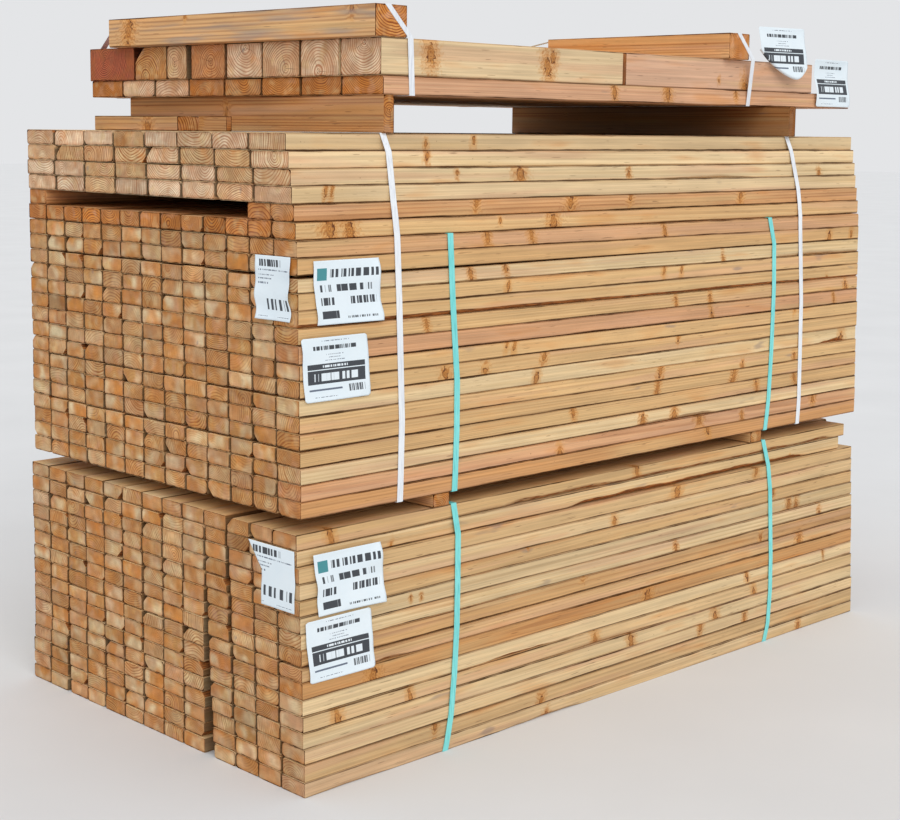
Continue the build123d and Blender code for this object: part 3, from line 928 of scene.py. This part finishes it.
def board_parts(random, board):
    """Points, faces and attributes of one board."""
    places, cuts, bulges, bark = board_edges(random, board)
    inset = np.zeros(len(places))
    inset[[0, -1]] = skin
    outline = section(board, cuts, bulges, inset)
    set_back(random, board, places, outline)
    count, around = outline.shape[:2]
    sides, caps = board_faces(count, around)
    centre = (board.low + board.high)[1:] / 2
    local = np.empty((count, around, 3))
    local[:, :, 0] = (board.low[0] + places)[:, None]
    local[:, :, 1:] = outline + centre
    whole = np.concatenate([local.reshape(-1, 3), local[0], local[-1]])

    pith, log = log_for(random, board)
    tilt = [random.gauss(0.0, 0.003), random.gauss(0.0, 0.003)]
    grain = whole - [board.low[0], *(centre + pith)]
    grain[:, 1:] += grain[:, :1] * tilt
    first = count * around
    inner = np.zeros(arc_steps + 1)
    inner[1:-1] = 1.0
    arris = np.tile(inner, 4)
    surface = np.zeros((len(whole), 3))
    surface[first:, 0] = 1.0
    # The rounded arrises get dirt and painted shade
    surface[:first, 1] = np.tile(arris, count)
    surface[:first, 2] = (np.repeat(bark, arc_steps + 1, axis=1) * arris).ravel()
    section_place = np.zeros((len(whole), 3))
    section_place[:, :2] = whole[:, 1:] - centre
    # Marks the sides in the joints, which get painted shade
    section_place[:first, 2] = joint_shaded_sides(board, outline[:, :, 0]).ravel()
    seed = [random.uniform(-50, 50) for axis in range(3)]
    half = (board.wide / 2, board.thick / 2, orange_for(random, board))
    steady = {"look": look_for(random, board), "log": log, "seed": seed, "half": half}
    for number, knot in enumerate(knots_for(random, board, pith), 1):
        steady[f"knot{number}"] = knot
    values = {"grain": grain, "surface": surface, "section": section_place}
    for name, value in steady.items():
        values[name] = np.tile(np.array(value, float), (len(whole), 1))
    return whole @ board.axes, sides, caps, values


def make_mesh(name, points, faces, values):
    mesh = bpy.data.meshes.new(name)
    mesh.from_pydata(points, [], faces)
    for key, value in values.items():
        attribute = mesh.attributes.new(key, "FLOAT_VECTOR", "POINT")
        attribute.data.foreach_set("vector", np.asarray(value, np.float32).ravel())
    mesh.validate()
    return mesh


def add_piece(name, mesh, material, node):
    """Shows a new piece in the place of a CAD node."""
    piece = add_object(name, mesh)
    mesh.materials.append(material)
    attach(piece, "root")
    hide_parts(node)
    return piece


def add_boards(node, material):
    """All boards of one CAD node, as one piece."""
    random = Random(f"boards {node}")
    points = []
    faces = []
    values = {}
    total = 0
    solids = islands(node)
    for number, corners in enumerate(solids):
        board = Board(node, corners, number, len(solids))
        place, sides, caps, parts = board_parts(random, board)
        points.append(place)
        faces.extend((sides + total).tolist())
        faces.extend([total + vertex for vertex in cap] for cap in caps)
        for key, value in parts.items():
            values.setdefault(key, []).append(value)
        total += len(place)
    values = {key: np.concatenate(value) for key, value in values.items()}
    mesh = make_mesh(f"{node}_boards", np.concatenate(points).tolist(), faces, values)
    add_piece(f"{node}_boards", mesh, material, node)


# Labels

def outline_foot(kind, across):
    """Where the sheet's lower edge lies, as a share of its height."""
    if kind != "standing":
        return 0.0
    lowest = 0.76
    if across < lowest:
        return 0.58 * ((lowest - across) / lowest) ** 1.7
    return 0.22 * ((across - lowest) / (1.0 - lowest)) ** 1.8


def outline_left(kind, up):
    """Where the sheet's left edge lies. The lower end label's edge is cut back there below
    its top corner, in the shape of a fold, and the order labels have round corners."""
    if kind == "folded end":
        fold, corner = 0.28, 0.58
        return fold * min(1.0, (1.0 - up) / (1.0 - corner))
    if kind in ("order", "standing", "hanging"):
        radius = 0.045
        near_edge = max(0.0, radius - min(up, 1.0 - up))
        return 0.7 * (radius - math.sqrt(radius ** 2 - near_edge ** 2))
    return 0.0


def sheet_lift(kind, across, up, phase):
    """How far the sheet stands off the wood, in metres."""
    if kind == "folded end":
        return 0.0001
    rim = max(abs(2 * across - 1) ** 4, abs(2 * up - 1) ** 4)
    wave = math.sin(7.5 * up + 3.0 * across + phase)
    wave += 0.6 * math.sin(13.0 * up - 5.0 * across + 2.0 * phase)
    lift = 0.0006 + 0.0022 * rim * (1.0 + 0.5 * wave)
    if kind == "wavy end":
        lift += 0.002 * (1.0 + math.sin(15.0 * up + 2.0)) * abs(2 * across - 1)
    if kind == "product":
        lift += 0.004 * (1.0 + math.sin(9.0 * up + 1.0)) * across ** 3
    if kind == "standing":
        lift += 0.014 * (1.0 - up) ** 1.4
    if kind == "hanging":
        lift += 0.004 * (1.0 + math.sin(6.0 * up + 0.5))
    return lift


def sheet_sway(kind, up, phase):
    """How far the sheet's sides wander sideways, in metres."""
    amount = {"wavy end": 0.0026, "product": 0.0015, "folded end": 0.0014}.get(kind, 0.0008)
    return amount * (math.sin(8.0 * up + phase) + 0.4 * math.sin(17.0 * up))


def label_kinds(node):
    """Names each label of a node by its place."""
    solids = islands(node)
    if node == "labels_top":
        solids.sort(key=lambda solid: solid[:, 0].min())
        return list(zip(("standing", "hanging"), solids))
    ends = [solid for solid in solids if np.ptp(solid[:, 0]) < end_label_depth]
    sides = [solid for solid in solids if np.ptp(solid[:, 0]) >= end_label_depth]
    sides.sort(key=lambda solid: -solid[:, 2].max())
    end = "wavy end" if node == "labels_upper" else "folded end"
    return [(end, ends[0])] + list(zip(("product", "order"), sides))


def label_axes(kind, corners):
    """Along the sheet, towards the wood, and up."""
    guess = np.array([0.0, -1.0, 0.0] if "end" in kind else [1.0, 0.0, 0.0])
    head = corners[corners[:, 2] > corners[:, 2].max() - 1e-4]
    reach = head @ guess
    along = head[reach.argmax()] - head[reach.argmin()]
    along /= np.linalg.norm(along)
    return np.array([along, [-along[1], along[0], 0.0], [0.0, 0.0, 1.0]])


def sheet_point(kind, row, column, tall, phase):
    """A point of the sheet: its place across and up as shares, how far it stands off the
    wood, and its height on the page. The rows past the foot curl under."""
    across = column / paper_grid
    up = 1.0 - (1.0 - outline_foot(kind, across)) * min(1.0, row / paper_grid)
    left = outline_left(kind, up)
    right = 0.0 if kind == "folded end" else left
    across = left + (1.0 - left - right) * across
    lift = sheet_lift(kind, across, up, phase)
    page_up = up
    if row > paper_grid:
        angle = curl_angle * (row - paper_grid) / curl_steps
        lift -= curl_radius * (1.0 - math.cos(angle))
        up -= curl_radius * math.sin(angle) / tall
        page_up -= curl_radius * angle / tall
    return across, up, lift, page_up


def label_mesh(name, kind, corners):
    """A thin sheet over the label's solid, lifted and bent as paper is."""
    axes = label_axes(kind, corners)
    local = corners @ axes.T
    low, high = local.min(0), local.max(0)
    slant = label_slants.get(kind, 0.0)
    wide = high[0] - low[0] - slant
    tall = high[2] - low[2]
    outer_head = local[local[:, 2] > high[2] - 1e-4, 1].max()
    outer_foot = local[local[:, 2] < low[2] + 1e-4, 1].max()
    phase = sum(map(ord, name)) % 7
    rows = paper_grid + 1 + (curl_steps if kind == "standing" else 0)
    columns = paper_grid + 1
    points = []
    pages = []
    for row in range(rows):
        for column in range(columns):
            across, up, lift, page_up = sheet_point(kind, row, column, tall, phase)
            x = low[0] + slant * (1.0 - up) + wide * across + sheet_sway(kind, up, phase)
            y = outer_foot + (outer_head - outer_foot) * up - lift
            points.append(tuple(np.array([x, y, low[2] + tall * up]) @ axes))
            pages.append((across, page_up, 0.0))
    corner = [row * columns + column for row in range(rows - 1) for column in range(paper_grid)]
    faces = [(first, first + columns, first + columns + 1, first + 1) for first in corner]
    return make_mesh(name, points, faces, {"page": pages})


def add_labels():
    papers = {
        "product": paper_material("product label", product_marks, first_tone=teal_ink),
        "order": paper_material("order label", order_marks, order_gaps),
        "end": paper_material("end label", end_marks),
    }
    bare = paper_material("bare paper")
    for node in label_nodes:
        for kind, corners in label_kinds(node):
            name = f"{node}_{kind.replace(' ', '_')}"
            mesh = label_mesh(name, kind, corners)
            mesh.shade_smooth()
            page = "end" if "end" in kind else "product" if kind == "product" else "order"
            piece = add_piece(name, mesh, papers[page], node)
            mesh.materials.append(bare)
            solidify = piece.modifiers.new("thickness", "SOLIDIFY")
            solidify.thickness = paper_thickness
            solidify.offset = 0.0
            solidify.material_offset = 1


# Stage, light and camera

def add_floor():
    half = floor_half
    corners = [(-half, -half, 0), (half, -half, 0), (half, half, 0), (-half, half, 0)]
    mesh = bpy.data.meshes.new("floor")
    mesh.from_pydata(corners, [], [(0, 1, 2, 3)])
    floor = add_object("floor", mesh)
    shader = Shader("pale floor")
    colour = shader.place().noise(1.5, 3.0).tones((216, 217, 219), (226, 227, 229))
    mesh.materials.append(shader.finish(colour, 0.9))


def add_sky():
    """An even sky, which the camera sees as plain white."""
    world = bpy.data.worlds.new("studio")
    bpy.context.scene.world = world
    world.use_nodes = True
    tree = world.node_tree
    lit = tree.nodes["Background"]
    feed(lit.inputs["Color"], (0.97, 0.985, 1.0, 1.0))
    feed(lit.inputs["Strength"], 0.8)
    seen = add_node(tree, "ShaderNodeBackground", [("Color", srgb(228, 229, 231))])
    path = add_node(tree, "ShaderNodeLightPath").outputs
    rays = Wire(path["Is Camera Ray"]).at_least(Wire(path["Is Glossy Ray"]))
    rays = rays.at_least(Wire(path["Is Transmission Ray"]))
    mixed = rays.to("ShaderNodeMixShader",
                    enumerate((rays, Wire(lit.outputs[0]), Wire(seen.outputs[0]))))
    feed(tree.nodes["World Output"].inputs["Surface"], mixed)


def add_sun():
    """A soft low sun."""
    sun = bpy.data.lights.new("soft sun", "SUN")
    sun.energy = 1.3
    sun.angle = math.radians(50.0)
    sun.color = (1.0, 0.97, 0.92)
    lamp = add_object("soft sun", sun)
    lamp.rotation_mode = "QUATERNION"
    towards = Vector((0.45, 0.75, -0.65))
    lamp.rotation_quaternion = towards.to_track_quat("-Z", "Y")


def add_camera():
    data = bpy.data.cameras.new("camera")
    data.sensor_width = sensor
    data.lens = focal_pixels * sensor / picture_wide
    data.shift_x = shift_right_pixels / picture_wide
    data.shift_y = -shift_down_pixels / picture_wide
    data.clip_start = 0.1
    data.clip_end = 300.0
    sight = Vector((math.sin(camera_yaw) * math.cos(camera_pitch),
                    math.cos(camera_yaw) * math.cos(camera_pitch), math.sin(camera_pitch)))
    level = Vector((math.cos(camera_yaw), -math.sin(camera_yaw), 0.0))
    upright = level.cross(sight)
    right = math.cos(camera_roll) * level + math.sin(camera_roll) * upright
    above = math.cos(camera_roll) * upright - math.sin(camera_roll) * level
    camera = add_object("camera", data)
    camera.matrix_world = Matrix.Translation(camera_place) @ Matrix(
        (right, above, -sight)).transposed().to_4x4()
    bpy.context.scene.camera = camera


lumber = lumber_material()
for node in sorted(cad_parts):
    if node not in strap_nodes + label_nodes:
        add_boards(node, lumber)

green = strap_material("green strap", (134, 226, 224), (96, 198, 198), 0.3)
white = strap_material("white strap", (236, 240, 245), (212, 217, 226), 0.32)
for node in strap_nodes:
    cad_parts[node].data.materials.clear()
    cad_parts[node].data.materials.append(green if "green" in node else white)
add_labels()

add_floor()
add_sky()
add_sun()
add_camera()
bpy.context.scene.view_settings.view_transform = "Standard"
